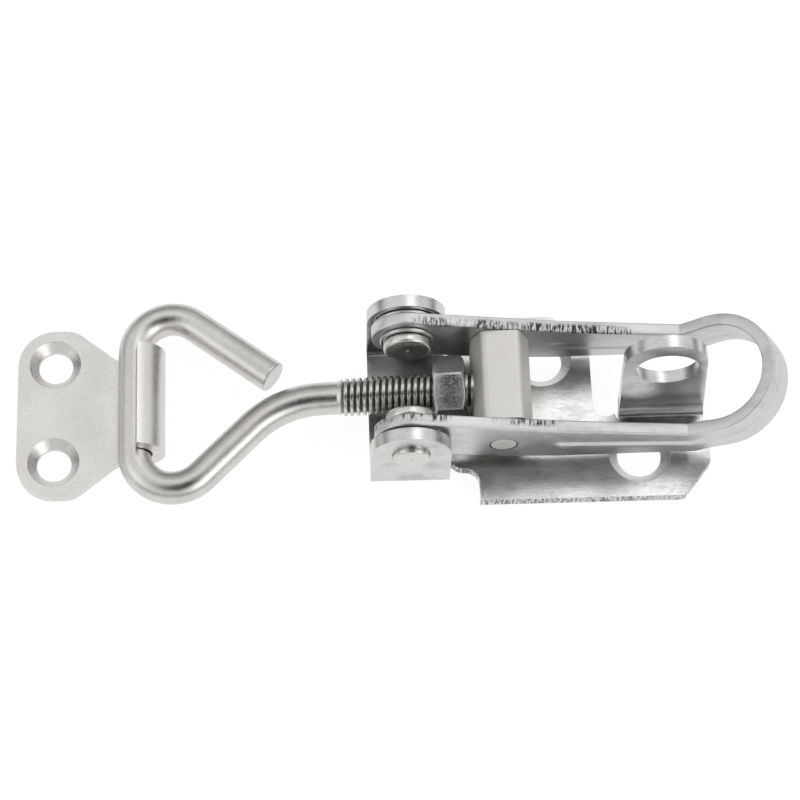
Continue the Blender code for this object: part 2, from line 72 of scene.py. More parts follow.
BOLT_REACH = float(np.linalg.norm(CROSSBAR - TRUNNION))
BOLT_LINE = (CROSSBAR - TRUNNION) / BOLT_REACH
BOLT_UP = np.cross(ACROSS, BOLT_LINE)
SHARP_ANGLE = math.radians(35)  # edges sharper than this stay hard
ROUND_FACETS = 48  # round a wire or a turned piece
CORNER_POINTS = 4  # along a rounded corner of a turned outline
SAME_POINT = 1e-7  # points closer than this are one
SAME_AFTER_CUT = 1e-6  # the same beside a Boolean cut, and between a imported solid's loose triangles


# Arrays of points


def smooth(low, high, value):
    """0 below low, 1 above high, and 3t^2 - 2t^3 between them."""
    t = np.clip((value - low) / (high - low), 0, 1)
    return t * t * (3 - 2 * t)


def quads(rows, columns, closed_rows=False, closed_columns=True):
    """Corner numbers of the cells of a grid of points, as an (n, 4) array."""
    row = np.arange(rows if closed_rows else rows - 1)
    column = np.arange(columns if closed_columns else columns - 1)
    i, j = np.meshgrid(row, column, indexing="ij")
    k, m = (i + 1) % rows, (j + 1) % columns
    return np.stack((i * columns + j, i * columns + m, k * columns + m, k * columns + j), -1).reshape(-1, 4)


def add_mesh(name, points, faces, marks=None):
    """A mesh object from point and face arrays, with its doubles merged and its normals facing out."""
    mesh = bpy.data.meshes.new(name)
    mesh.vertices.add(len(points))
    mesh.vertices.foreach_set("co", np.ascontiguousarray(points, np.float32).ravel())
    mesh.loops.add(faces.size)
    mesh.loops.foreach_set("vertex_index", faces.ravel().astype(np.int32))
    mesh.polygons.add(len(faces))
    mesh.polygons.foreach_set("loop_start", np.arange(len(faces), dtype=np.int32) * faces.shape[1])
    mesh.update(calc_edges=True)
    for label, values in (marks or {}).items():
        layer = mesh.attributes.new(label, "FLOAT", "POINT")
        layer.data.foreach_set("value", np.ascontiguousarray(values, np.float32).ravel())
    work = bmesh.new()
    work.from_mesh(mesh)
    bmesh.ops.remove_doubles(work, verts=work.verts, dist=SAME_POINT)
    bmesh.ops.dissolve_degenerate(work, edges=work.edges, dist=SAME_POINT / 10)
    bmesh.ops.recalc_face_normals(work, faces=work.faces)
    work.to_mesh(mesh)
    work.free()
    mesh.shade_smooth()
    mesh.set_sharp_from_angle(angle=SHARP_ANGLE)
    piece = bpy.data.objects.new(name, mesh)
    bpy.context.scene.collection.objects.link(piece)
    return piece


def bake_modifiers(piece):
    """Puts the modifiers' result into the piece's own mesh."""
    shown = piece.evaluated_get(bpy.context.evaluated_depsgraph_get())
    mesh = bpy.data.meshes.new_from_object(shown)
    piece.modifiers.clear()
    old, piece.data = piece.data, mesh
    bpy.data.meshes.remove(old)
    return piece


def cut(piece, *cutters):
    """Takes the cutters out of the piece, deletes them and merges the points that the cuts leave."""
    for cutter in cutters:
        modifier = piece.modifiers.new("Cut", "BOOLEAN")
        modifier.object = cutter
        modifier.operation = "DIFFERENCE"
        modifier.solver = "EXACT"
    bake_modifiers(piece)
    for cutter in cutters:
        bpy.data.objects.remove(cutter)
    work = bmesh.new()
    work.from_mesh(piece.data)
    bmesh.ops.remove_doubles(work, verts=work.verts, dist=SAME_AFTER_CUT)
    bmesh.ops.dissolve_degenerate(work, edges=work.edges, dist=SAME_AFTER_CUT / 10)
    work.to_mesh(piece.data)
    work.free()
    piece.data.set_sharp_from_angle(angle=SHARP_ANGLE)


def round_corners(outline, radius):
    """A closed (radius, along) outline with its corners rounded over.

    Each corner is cut back by the radius, or by less on a short side, and the two ends are joined by a
    quadratic curve that has the corner as its control point.
    """
    corner = np.asarray(outline, float)
    back = np.roll(corner, 1, 0) - corner
    ahead = np.roll(corner, -1, 0) - corner
    size = [np.linalg.norm(side, axis=1, keepdims=True) for side in (back, ahead)]
    reach = np.minimum(radius, np.minimum(*size) * 0.45)
    start, end = corner + back / size[0] * reach, corner + ahead / size[1] * reach
    t = np.linspace(0, 1, CORNER_POINTS)[None, :, None]
    curve = (1 - t) ** 2 * start[:, None] + 2 * t * (1 - t) * corner[:, None] + t**2 * end[:, None]
    return curve.reshape(-1, 2)


def turned(name, outline, centre, axis):
    """A closed outline of (radius, along) points, carried round an axis through a centre.

    A point is centre + radius (cos a side + sin a other) + along axis, with a from 0 to a full turn.
    """
    axis = np.asarray(axis, float)
    side = np.cross(axis, (0.0, 0.0, 1.0) if abs(axis[2]) < 0.9 else (1.0, 0.0, 0.0))
    side /= np.linalg.norm(side)
    other = np.cross(axis, side)
    angle = np.linspace(0, math.tau, ROUND_FACETS, endpoint=False)
    ring = np.cos(angle)[:, None] * side + np.sin(angle)[:, None] * other
    outline = np.asarray(outline, float)
    points = centre + outline[None, :, :1] * ring[:, None] + outline[None, :, 1:] * axis
    return add_mesh(name, points.reshape(-1, 3), quads(ROUND_FACETS, len(outline), True, True))


# Shader maths


class Value:
    """A shader socket that takes part in Python arithmetic: each operator adds a Math node."""

    def __init__(self, shader, socket):
        self.shader, self.socket = shader, socket

    def _math(self, operation, first, second):
        return self.shader.node("ShaderNodeMath", {"operation": operation}, {0: first, 1: second})

    def __add__(self, other):
        return self._math("ADD", self, other)

    def __sub__(self, other):
        return self._math("SUBTRACT", self, other)

    def __rsub__(self, other):
        return self._math("SUBTRACT", other, self)

    def __mul__(self, other):
        return self._math("MULTIPLY", self, other)


class Shader:
    """Builds a node tree: node() adds one node from its type, its settings and its inputs."""

    def __init__(self, tree):
        self.tree = tree
        tree.nodes.clear()

    def node(self, kind, settings=None, inputs=None, output=0):
        made = self.tree.nodes.new(kind)
        for name, value in (settings or {}).items():
            setattr(made, name, value)
        for name, value in (inputs or {}).items():
            if isinstance(value, Value):
                self.tree.links.new(value.socket, made.inputs[name])
            else:
                made.inputs[name].default_value = value
        return Value(self, made.outputs[output]) if made.outputs else made

    def ramp(self, value, low, high, start=0.0, end=1.0):
        """Goes smoothly from start to end as value goes from low to high."""
        inputs = {"Value": value, "From Min": low, "From Max": high, "To Min": start, "To Max": end}
        return self.node("ShaderNodeMapRange", {"interpolation_type": "SMOOTHSTEP"}, inputs)

    def place(self, scale=(1, 1, 1), turn=0.0):
        """The piece's own coordinates, stretched and turned about Z."""
        own = self.node("ShaderNodeTexCoord", output=3)
        inputs = {"Vector": own, "Scale": scale, "Rotation": (0, 0, turn)}
        return self.node("ShaderNodeMapping", None, inputs)

    def noise(self, place, scale, detail, roughness):
        """Cloudy noise from 0 to 1, with its scale in clouds to a metre."""
        inputs = {"Vector": place, "Scale": scale, "Detail": detail, "Roughness": roughness}
        return self.node("ShaderNodeTexNoise", {"normalize": True}, inputs)

    def blend(self, factor, first, second):
        """The first colour where the factor is 0 and the second where it is 1."""
        inputs = {0: factor, 6: first, 7: second}
        return self.node("ShaderNodeMix", {"data_type": "RGBA"}, inputs, output=2)

    def bump(self, height, distance, normal=None):
        """Tilts the normal as if the surface stood out by height times distance."""
        inputs = {"Height": height, "Distance": distance}
        if normal:
            inputs["Normal"] = normal
        return self.node("ShaderNodeBump", None, inputs)


GRAIN_STRETCH = 14.0  # length of a rolling line over its width
STAIN_COLOUR = (0.16, 0.165, 0.175, 1.0)
# near black: painted shade for the thread's roots
ROOT_SHADE_COLOUR = (0.015, 0.014, 0.012, 1.0)
TORN_SHADE = 0.12  # of the metal's own colour, in the streaks of a sheared edge
TORN_DEPTH = 0.12 * MM


def metal(
    name, colour, roughness, *, shade, spread, swell, grain, grain_turn=0.0, edge=0.0, root_shade=0.0, stain=0.0
):
    """Bare plated steel.

    The colour goes between itself and shade times itself, and roughness wanders by spread, both over
    clouds and dust. The swell is the slow unevenness left by the press, and the grain is the fine lines of
    rolling and rubbing, stretched along one direction: both are depths. The last three are strengths:
    - edge: where the cut_edge attribute is 1 the metal is sheared, with dark rough streaks across it;
    - hollow: where the hollow attribute is 1 the surface is a groove that holds dirt and little light;
    - painted shade for the thread's roots: where that attribute is 1 the colour is painted near black and the
      surface made rougher;
    """
    material = bpy.data.materials.new(name)
    material.use_nodes = True
    s = Shader(material.node_tree)
    cloud = s.noise(s.place(), 160.0, 3.0, 0.6)
    slow = s.noise(s.place(), 75.0, 1.0, 0.4)
    lines = s.noise(s.place((1.0, GRAIN_STRETCH, GRAIN_STRETCH), grain_turn), 900.0, 3.0, 0.7)
    dust = s.noise(s.place(), 5200.0, 2.0, 0.6)
    tone = s.ramp(cloud * 0.4 + lines * 0.3 + dust * 0.3, 0.38, 0.60)
    light = tuple(colour) + (1.0,)
    dark = tuple(c * shade for c in colour) + (1.0,)
    skin = s.blend(tone, dark, light)
    if stain:
        spot = s.ramp(s.noise(s.place((1.0, 2.2, 1.6)), 120.0, 4.0, 0.7), 0.50, 0.68)
        skin = s.blend(spot * stain, skin, STAIN_COLOUR)
    rough = s.ramp(cloud * 0.6 + dust * 0.4, 0.35, 0.65, roughness - spread, roughness + spread)
    normal = s.bump(slow, swell)
    normal = s.bump(lines * 0.8 + dust * 0.2, grain, normal)
    if edge:
        mark = s.node("ShaderNodeAttribute", {"attribute_name": "cut_edge"}, output=2)
        tear = s.noise(s.place((5.0, 1.0, 1.0)), 640.0, 3.0, 0.6)
        torn = s.ramp(slow * 0.4 + cloud * 0.6, 0.30, 0.46) * s.ramp(mark, 0.15, 0.6) * edge
        streak = 1 - s.ramp(tear, 0.44, 0.54)
        skin = s.blend(torn * streak, skin, tuple(c * TORN_SHADE for c in colour) + (1.0,))
        rough = rough + mark * edge * 0.06 + torn * streak * 0.25
        normal = s.bump(tear * torn, TORN_DEPTH * edge, normal)
    # painted shade: the thread's roots are painted near black and made rougher
    if root_shade:
        shaded_root = s.node("ShaderNodeAttribute", {"attribute_name": "root_shade"}, output=2) * root_shade
        skin = s.blend(shaded_root, skin, ROOT_SHADE_COLOUR)
        rough = rough + shaded_root * 0.25
    inputs = {"Base Color": skin, "Metallic": 1.0, "Roughness": rough, "Normal": normal}
    shader = s.node("ShaderNodeBsdfPrincipled", None, inputs)
    s.node("ShaderNodeOutputMaterial", None, {"Surface": shader})
    return material


# Finishing a piece


def finish_piece(piece, body, node, material):
    """Gives a piece its metal, hangs it on its body and hides the plain solid it stands for."""
    piece.data.materials.clear()
    piece.data.materials.append(material)
    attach(piece, body)
    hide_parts(node)


FLAT_ANGLE = math.radians(0.4)  # faces that meet at less than this are one flat
BEVEL_ANGLE = math.radians(32)  # edges sharper than this are rounded over


def softened_copy(name, node, edge_round):
    """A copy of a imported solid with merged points, clean flats and every sharp edge rounded over."""
    mesh = frame["nodes"][node].data.copy()
    work = bmesh.new()
    work.from_mesh(mesh)
    bmesh.ops.remove_doubles(work, verts=work.verts, dist=2 * SAME_AFTER_CUT)
    bmesh.ops.dissolve_limit(work, angle_limit=FLAT_ANGLE, verts=work.verts, edges=work.edges)
    work.to_mesh(mesh)
    work.free()
    mesh.shade_smooth()
    piece = bpy.data.objects.new(name, mesh)
    bpy.context.scene.collection.objects.link(piece)
    bevel = piece.modifiers.new("Rounded edges", "BEVEL")
    bevel.width = edge_round
    bevel.segments = 3
    bevel.limit_method = "ANGLE"
    bevel.angle_limit = BEVEL_ANGLE
    bevel.use_clamp_overlap = True
    weigh = piece.modifiers.new("Flat faces first", "WEIGHTED_NORMAL")
    weigh.mode = "FACE_AREA_WITH_ANGLE"
    weigh.weight = 90
    return bake_modifiers(piece)


UPRIGHT = 0.35  # the most that an upright face's normal may rise
SHEET_TOP = 2.05 * MM  # just over the flat sheet's upper face


def mark_cut_edges(piece):
    """Writes cut_edge: 1 on the faces that stand upright within the flat sheet's thickness, 0 on the rest."""
    faces = piece.data.polygons
    centre, normal = np.empty(len(faces) * 3), np.empty(len(faces) * 3)
    faces.foreach_get("center", centre)
    faces.foreach_get("normal", normal)
    corners = np.empty(len(faces), np.int32)
    faces.foreach_get("loop_total", corners)
    is_cut = (np.abs(normal[2::3]) < UPRIGHT) & (centre[2::3] < SHEET_TOP)
    layer = piece.data.attributes.new("cut_edge", "FLOAT", "CORNER")
    layer.data.foreach_set("value", np.repeat(is_cut.astype(np.float32), corners))


# What a user may change


class LatchThreadSettings(bpy.types.PropertyGroup):
    """Sizes of the bolt's thread and its wire."""

    pitch: FloatProperty(
        name="Pitch",
        description="Distance between two threads",
        default=0.001,
        unit="LENGTH",
        precision=5,
    )
    crest: FloatProperty(
        name="Crest radius",
        description="Radius over the threads",
        default=0.003,
        unit="LENGTH",
        precision=5,
    )
    root: FloatProperty(
        name="Root radius",
        description="Radius between the threads",
        default=0.00246,
        unit="LENGTH",
        precision=5,
    )
    wire: FloatProperty(
        name="Wire radius",
        description="Radius of the bent wire",
        default=0.0026,
        unit="LENGTH",
        precision=5,
    )


class LatchSheetSettings(bpy.types.PropertyGroup):
    """Sizes of the pressed sheet pieces' details."""

    edge_round: FloatProperty(
        name="Edge rounding",
        description="How far the sheet's edges are rounded over",
        default=0.0004,
        unit="LENGTH",
        precision=5,
    )
    keeper_round: FloatProperty(
        name="Keeper edge rounding",
        description="Edge rounding of the tumbled keeper",
        default=0.0004,
        unit="LENGTH",
        precision=5,
    )
    trunnion_round: FloatProperty(
        name="Trunnion edge rounding",
        description="Edge rounding of the trunnion",
        default=0.0003,
        unit="LENGTH",
        precision=5,
    )
    bead_depth: FloatProperty(
        name="Bead depth",
        description="How far the lever's bead stands out",
        default=0.0003,
        unit="LENGTH",
        precision=5,
    )


class LatchFinishSettings(bpy.types.PropertyGroup):
    """Colours and roughness of the metals."""

    polished: FloatVectorProperty(
        name="Polished colour",
        description="Colour of the polished plate",
        subtype="COLOR",
        default=(0.63, 0.63, 0.62),
        min=0,
        max=1,
    )
    satin: FloatVectorProperty(
        name="Satin colour",
        description="Colour of the satin pieces",
        subtype="COLOR",
        default=(0.65, 0.635, 0.615),
        min=0,
        max=1,
    )
    polished_rough: FloatProperty(
        name="Polished roughness",
        description="Roughness of the polished plate",
        default=0.16,
        min=0,
        max=1,
    )
    satin_rough: FloatProperty(
        name="Satin roughness",
        description="Roughness of the satin pieces",
        default=0.30,
        min=0,
        max=1,
    )


class LatchStageSettings(bpy.types.PropertyGroup):
    """The floor and the light."""

    floor: FloatVectorProperty(
        name="Floor",
        description="Colour of the floor",
        subtype="COLOR",
        default=(0.95, 0.95, 0.95),
        min=0,
        max=1,
    )
    floor_glow: FloatProperty(
        name="Floor glow",
        description="Light that the lit floor gives off",
        default=0.96,
        min=0,
    )
    tent: FloatProperty(
        name="Tent",
        description="Brightness of the white tent around the table",
        default=1.0,
        min=0,
    )
    softbox: FloatProperty(
        name="Softbox",
        description="Brightness of the front softbox",
        default=1.3,
        min=0,
    )


# The pieces


def path_with_bends(corners, step):
    """Points and directions along straight runs joined by arcs, about a step apart.

    A corner is (along, across, radius). Its arc touches both runs radius / tan(half the corner's angle)
    away from it, and the arc's centre is radius / sin(half the angle) away along the middle line.
    """
    xy = np.array([corner[:2] for corner in corners], float)
    runs, start = [], xy[0]
    for here, corner in enumerate(corners[1:-1], 1):
        back = (xy[here - 1] - xy[here]) / np.linalg.norm(xy[here - 1] - xy[here])
        ahead = (xy[here + 1] - xy[here]) / np.linalg.norm(xy[here + 1] - xy[here])
        half = math.acos(float(np.clip(back @ ahead, -1, 1))) / 2
        middle = (back + ahead) / np.linalg.norm(back + ahead)
        centre = xy[here] + middle * corner[2] / math.sin(half)
        first = xy[here] + back * corner[2] / math.tan(half)
        last = xy[here] + ahead * corner[2] / math.tan(half)
        angle = math.atan2(*(first - centre)[::-1])
        turn = (math.atan2(*(last - centre)[::-1]) - angle + math.pi) % math.tau - math.pi
        line = max(2, round(np.linalg.norm(first - start) / step))
        runs.append(start + (first - start) * np.linspace(0, 1, line, endpoint=False)[:, None])
        bend = angle + turn * np.linspace(0, 1, max(8, round(abs(turn) * corner[2] / step)), endpoint=False)
        runs.append(centre + corner[2] * np.stack((np.cos(bend), np.sin(bend)), 1))
        start = last
    line = max(2, round(np.linalg.norm(xy[-1] - start) / step))
    runs.append(start + (xy[-1] - start) * np.linspace(0, 1, line)[:, None])
    points = np.concatenate(runs)
    ahead = np.gradient(points, axis=0)
    return points, ahead / np.linalg.norm(ahead, axis=1, keepdims=True)


NEAR_ARM_SLOPE = math.radians(43.93)
FAR_ARM_SLOPE = math.radians(38.5)
NEAR_CORNER, FAR_CORNER = 22.3 * MM, 21.8 * MM
FAR_ARM_REACH = 22.05 * MM
ARM_BEND, NEAR_BEND, FAR_BEND = 16 * MM, 6.3 * MM, 5.9 * MM
THREAD_START = -2.9 * MM
PLAIN_SHANK = 2.6 * MM
ROWS_PER_THREAD = 14
PLAIN_ROWS = 6  # where there is no thread, one row in this many is kept


def bolt_rows(sizes):
    """The bolt's centre line and its directions, row by row, which rows are on the straight shank, and
    how far along it the thread ends."""
    arm_start = BOLT_REACH - NEAR_CORNER / math.tan(NEAR_ARM_SLOPE)
    tip = FAR_CORNER - math.tan(FAR_ARM_SLOPE) * FAR_ARM_REACH
    corners = [
        (THREAD_START, 0, 0),
        (arm_start, 0, ARM_BEND),
        (BOLT_REACH, -NEAR_CORNER, NEAR_BEND),
        (BOLT_REACH, FAR_CORNER, FAR_BEND),
        (BOLT_REACH - FAR_ARM_REACH, tip, 0),
    ]
    points, ahead = path_with_bends(corners, sizes.pitch / ROWS_PER_THREAD)
    thread_end = arm_start - ARM_BEND * math.tan(NEAR_ARM_SLOPE / 2) - PLAIN_SHANK
    on_shank = (points[:, 0] < thread_end + sizes.pitch) & (np.abs(points[:, 1]) < 1e-9)
    keep = on_shank | (np.arange(len(points)) % PLAIN_ROWS == 0)
    keep[[0, -1]] = True
    return points[keep], ahead[keep], on_shank[keep], thread_end


FLANK_FROM, FLANK_TO = 0.16, 0.58  # of half a pitch, from the middle of a root: where the flank runs
THREAD_FADE = 1.5  # pitches
THREAD_CHAMFER = 0.1 * MM  # how far the bolt's end is turned down below the thread's root
# the cut end of the wire, ring by ring: share of its radius, and how far it stands out
WIRE_RIM = np.array(((0.985, 0.06), (0.95, 0.11), (0.88, 0.15), (0.4, 0.16), (0.0, 0.16))) * (1, MM)
BOLT_END_RINGS = np.array((0.0, 0.5, 0.96))  # shares of the thread's radius


def make_hook_bolt(sizes):
    """The wire: a circle carried along the bent centre line. On the shank its radius follows the thread.

    The thread's height at a point is a wave of (distance / pitch - angle / full turn), with flattened
    crests and roots. It fades into the plain wire at its end. Rings of falling radius close both ends.
    """
    points, ahead, shank, thread_end = bolt_rows(sizes)
    angle = np.linspace(0, math.tau, ROUND_FACETS, endpoint=False)
    along = points[:, 0]
    phase = (along[:, None] - THREAD_START) / sizes.pitch - angle[None] / math.tau
    height = smooth(FLANK_FROM, FLANK_TO, np.abs((phase % 1) * 2 - 1))
    thread = sizes.root + (sizes.crest - sizes.root) * height
    fade = 1 - smooth(thread_end - THREAD_FADE * sizes.pitch, thread_end, along)
    fade = np.where(shank, fade, 0)[:, None]
    radius = sizes.wire + (thread - sizes.wire) * fade
    chamfer = sizes.root - THREAD_CHAMFER + (along - THREAD_START)
    radius = np.minimum(radius, np.where(shank, chamfer, np.inf)[:, None])
    side = np.stack((-ahead[:, 1], ahead[:, 0]), 1)
    place = TRUNNION + points[:, :1] * BOLT_LINE + points[:, 1:] * ACROSS
    side = side[:, :1] * BOLT_LINE + side[:, 1:] * ACROSS
    ring = np.cos(angle)[None, :, None] * side[:, None] + np.sin(angle)[None, :, None] * BOLT_UP
    rows = place[:, None] + radius[..., None] * ring
    start = place[0] + BOLT_END_RINGS[:, None, None] * radius[0][None, :, None] * ring[0]
    tip = ahead[-1, :1] * BOLT_LINE + ahead[-1, 1:] * ACROSS
    end = place[-1] + WIRE_RIM[:, 1, None, None] * tip + WIRE_RIM[:, 0, None, None] * sizes.wire * ring[-1]
    # painted shade: 1 in the thread's roots, fading out where the thread fades into the plain wire
    root_shade = np.zeros((len(start) + len(rows) + len(end), ROUND_FACETS))
    root_shade[len(start) : len(start) + len(rows)] = (1 - smooth(0.0, 0.12, height)) * fade
    rows = np.concatenate((start, rows, end))
    faces = quads(len(rows), ROUND_FACETS)
    return add_mesh("hook_bolt_wire", rows.reshape(-1, 3), faces, {"root_shade": root_shade})


NUT_FLATS, NUT_BORE = 10 * MM, 3.06 * MM
NUT_FACE = NUT_FLATS / 2 * 0.95  # radius of the flat ring that is left at each end
NUT_START, NUT_END = 5.5 * MM, 10.5 * MM
NUT_TURN = math.radians(24)
NUT_CONE = math.radians(30)
NUT_CHAMFER, NUT_SOFT, NUT_CORNER_WEAR = 0.35 * MM, 0.07 * MM, 0.06 * MM
# where a side's points stand, from one corner to the next, as shares of a sixth of a turn
NUT_SIDE = np.array((-0.5, -0.493, -0.48, -0.44, -0.36, -0.24, -0.12, 0, 0.12, 0.24, 0.36, 0.44, 0.48, 0.493))


def make_lock_nut():
    """The nut: a section of bore, chamfer, end face, cone and side, carried round the bolt's line.

    The side's radius is half the flats / cos(angle from the middle of the side), a little worn at the
    corners. The cone drops from the end face by tan 30 degrees times how far the side stands past it.
    """
    sixth = math.tau / 6
    angle = (np.arange(6)[:, None] * sixth + NUT_SIDE * sixth).ravel()
    from_middle = np.tile(NUT_SIDE * sixth, 6)
    corner = NUT_FLATS / 2 / math.cos(sixth / 2) - NUT_CORNER_WEAR
    hexagon = np.minimum(NUT_FLATS / 2 / np.cos(from_middle), corner)
    drop = (hexagon - NUT_FACE) * math.tan(NUT_CONE)
    one = np.ones_like(angle)
    half = [  # radius and depth of one half's section, from the middle of the bore to the side
        (one * NUT_BORE, one * 0.5 * (NUT_END - NUT_START)),
        (one * NUT_BORE, one * NUT_CHAMFER),
        (one * (NUT_BORE + NUT_CHAMFER), one * 0),
        (one * (NUT_FACE - NUT_SOFT), one * 0),
        (one * (NUT_FACE + NUT_SOFT), one * NUT_SOFT * 0.5),
        (hexagon - NUT_SOFT, drop - NUT_SOFT * 0.5),
        (hexagon - NUT_SOFT * 0.25, drop + NUT_SOFT * 0.15),
        (hexagon, drop + NUT_SOFT),
    ]
    radius = np.stack([r for r, _ in half] + [r for r, _ in half[:0:-1]], 1)
    depth = np.stack([NUT_START + d for _, d in half] + [NUT_END - d for _, d in half[:0:-1]], 1)
    up = math.cos(NUT_TURN) * BOLT_UP - math.sin(NUT_TURN) * ACROSS
    side = np.cross(BOLT_LINE, up)
    ring = np.cos(angle)[:, None] * up + np.sin(angle)[:, None] * side
    points = TRUNNION + depth[..., None] * BOLT_LINE + radius[..., None] * ring[:, None]
    return add_mesh("lock_nut_hexagon", points.reshape(-1, 3), quads(len(angle), radius.shape[1], True, True))


LEVER_HALF, LEVER_WALL = 9.6 * MM, 2 * MM
LEVER_END = 5.6 * MM
LEVER_CORNER = 0.28 * MM
# corners of the wall's edges, seen from the side and measured from the pivot
LEVER_TOP = np.array(((5.5, 4.6), (24, 1.2), (43.3, -1.2))) * MM
LEVER_BOTTOM = np.array(((14.6, -8.0), (24, -8.4), (45.0, -8.0))) * MM
KINK_FROM, KINK_SLIDE = 6 * MM, 1.7 * MM  # where the bottom edge starts to run ahead, and by how much
FINE_FROM = 2.2 * MM  # closer rows before the kink
LOOP_RISE = math.radians(28.5)
LOOP_HEIGHT, LOOP_RADIUS, LOOP_END = 6.6 * MM, 9.9 * MM, 56.5 * MM
LOOP_BLEND = 3 * MM
END_ROWS, WALL_ROWS, KINK_ROWS, LEG_ROWS, BEND_ROWS = 22, 90, 14, 26, 40
BEAD_FROM, BEAD_HALF = 22.5 * MM, 1.35 * MM
BEAD_PLACE = 0.56  # of the strip's height, from the top
BEAD_FADE = (50 * MM, 54 * MM)  # where the bead dies down on the loop
BEAD_LEFT = 0.35  # of its depth, on the loop
BEAD_INSIDE = 0.6  # of its depth, on the inner face


def wall_edge(x, corners, sign):
    """Height of the wall's top edge (sign 1) or bottom edge (sign -1) at x.

    It is the round end's circle as far as the point where the line from the first corner touches it, and
    then the straight lines through the corners.
    """
    along, up = corners[0]
    touch = math.atan2(up, along) + sign * math.acos(LEVER_END / math.hypot(along, up))
    line_x = np.array([LEVER_END * math.cos(touch), *corners[:, 0]])
    line_z = np.array([LEVER_END * math.sin(touch), *corners[:, 1]])
    circle = sign * np.sqrt(np.clip(LEVER_END**2 - x**2, 0, None))
    return np.where(x < line_x[0], circle, np.interp(x, line_x, line_z))


def lever_edges():
    """Top and bottom edge of the strip, its outward direction and its distance from the pivot, row by row.

    The walls run from the round end to the kink. The loop is a plane turned up by its rise: two legs
    that close in slightly and a half circle. Only the near half is worked out, and the far half is its
    mirror image.
    """
    kink = LEVER_TOP[-1, 0]
    x = np.concatenate(
        (
            -LEVER_END * np.cos(np.linspace(0, math.pi / 2, END_ROWS)),
            np.linspace(0, kink - FINE_FROM, WALL_ROWS)[1:],
            np.linspace(kink - FINE_FROM, kink, KINK_ROWS)[1:],
        )
    )
    slide = smooth(kink - KINK_FROM, kink, x) * KINK_SLIDE
    near_side = np.full_like(x, -LEVER_HALF)
    wall_top = np.stack((x, near_side, wall_edge(x, LEVER_TOP, 1)), 1)
    wall_low = np.stack((x + slide, near_side, wall_edge(x + slide, LEVER_BOTTOM, -1)), 1)
    wall_out = np.tile((0.0, -1.0, 0.0), (len(x), 1))

    rise = np.array((math.cos(LOOP_RISE), 0, math.sin(LOOP_RISE)))
    fall = np.array((math.sin(LOOP_RISE), 0, -math.cos(LOOP_RISE)))
    leg = (LOOP_END - kink) / math.cos(LOOP_RISE) - LOOP_RADIUS
    run = np.linspace(0, leg, LEG_ROWS)[1:-1]
    close = LEVER_HALF + (LOOP_RADIUS - LEVER_HALF) * smooth(0, leg, run)
    bend = np.linspace(-math.pi / 2, 0, BEND_ROWS)
    u = np.concatenate((run, leg + LOOP_RADIUS * np.cos(bend)))
    v = np.concatenate((-close, LOOP_RADIUS * np.sin(bend)))
    out_u = np.concatenate((run * 0, np.cos(bend)))
    out_v = np.concatenate((run * 0 - 1, np.sin(bend)))
    loop_top = (kink, 0, LEVER_TOP[-1, 1]) + u[:, None] * rise + v[:, None] * ACROSS
    first_fall = wall_low[-1] - wall_top[-1]
    share = smooth(0, LOOP_BLEND, u)[:, None]
    loop_low = loop_top + first_fall * (1 - share) + fall * LOOP_HEIGHT * share
    loop_out = out_u[:, None] * rise + out_v[:, None] * ACROSS

    pairs = ((wall_top, loop_top), (wall_low, loop_low), (wall_out, loop_out))
    mirror = np.array((1, -1, 1))
    near = [np.concatenate(pair) for pair in pairs]
    top, low, out = [np.concatenate((rows, rows[-2::-1] * mirror)) for rows in near]
    travel = np.concatenate((x, kink + u))
    return top, low, out, np.concatenate((travel, travel[-2::-1]))


def strip_section():
    """The strip's section, a rectangle with rounded corners, as a ring of points.

    It starts at the top outer corner and goes down the outer face and up the inner one. A point is a
    share of the strip's height and a length further down, a length in from the outer face, and how
    strongly it shows the marks of the shears.
    """
    quarter = np.linspace(0, math.pi / 2, 5)
    in_by = LEVER_CORNER * (1 - np.cos(quarter))
    down_by = LEVER_CORNER * (1 - np.sin(quarter))
    face = np.linspace(0.06, 0.94, 41)
    flat, edge = 0 * face, 0 * quarter
    share = np.concatenate((edge, face, edge + 1, edge + 1, face[::-1], edge))
    down = np.concatenate((down_by[::-1], flat, -down_by, -down_by[::-1], flat, down_by))
    wall = LEVER_WALL
    inward = np.concatenate((in_by[::-1], flat, in_by, wall - in_by[::-1], flat + wall, wall - in_by))
    sheared = np.concatenate((edge + 0.1, flat, edge + 0.4, edge + 0.4, flat, edge + 1.0))
    return share, down, inward, sheared


def shear_marks(travel, is_far):
    """How strongly the edge shows the shears: on the far wall over the pivot and past the trunnion, and
    on the near wall at its round end and in the middle."""
    far = smooth(-1 * MM, 3 * MM, travel) * (1 - smooth(30 * MM, 40 * MM, travel))
    near_end = 0.8 * (1 - smooth(4 * MM, 8 * MM, travel))
    near_middle = 0.75 * smooth(11 * MM, 14 * MM, travel) * (1 - smooth(20 * MM, 26 * MM, travel))
    return np.where(is_far, far, near_end + near_middle)


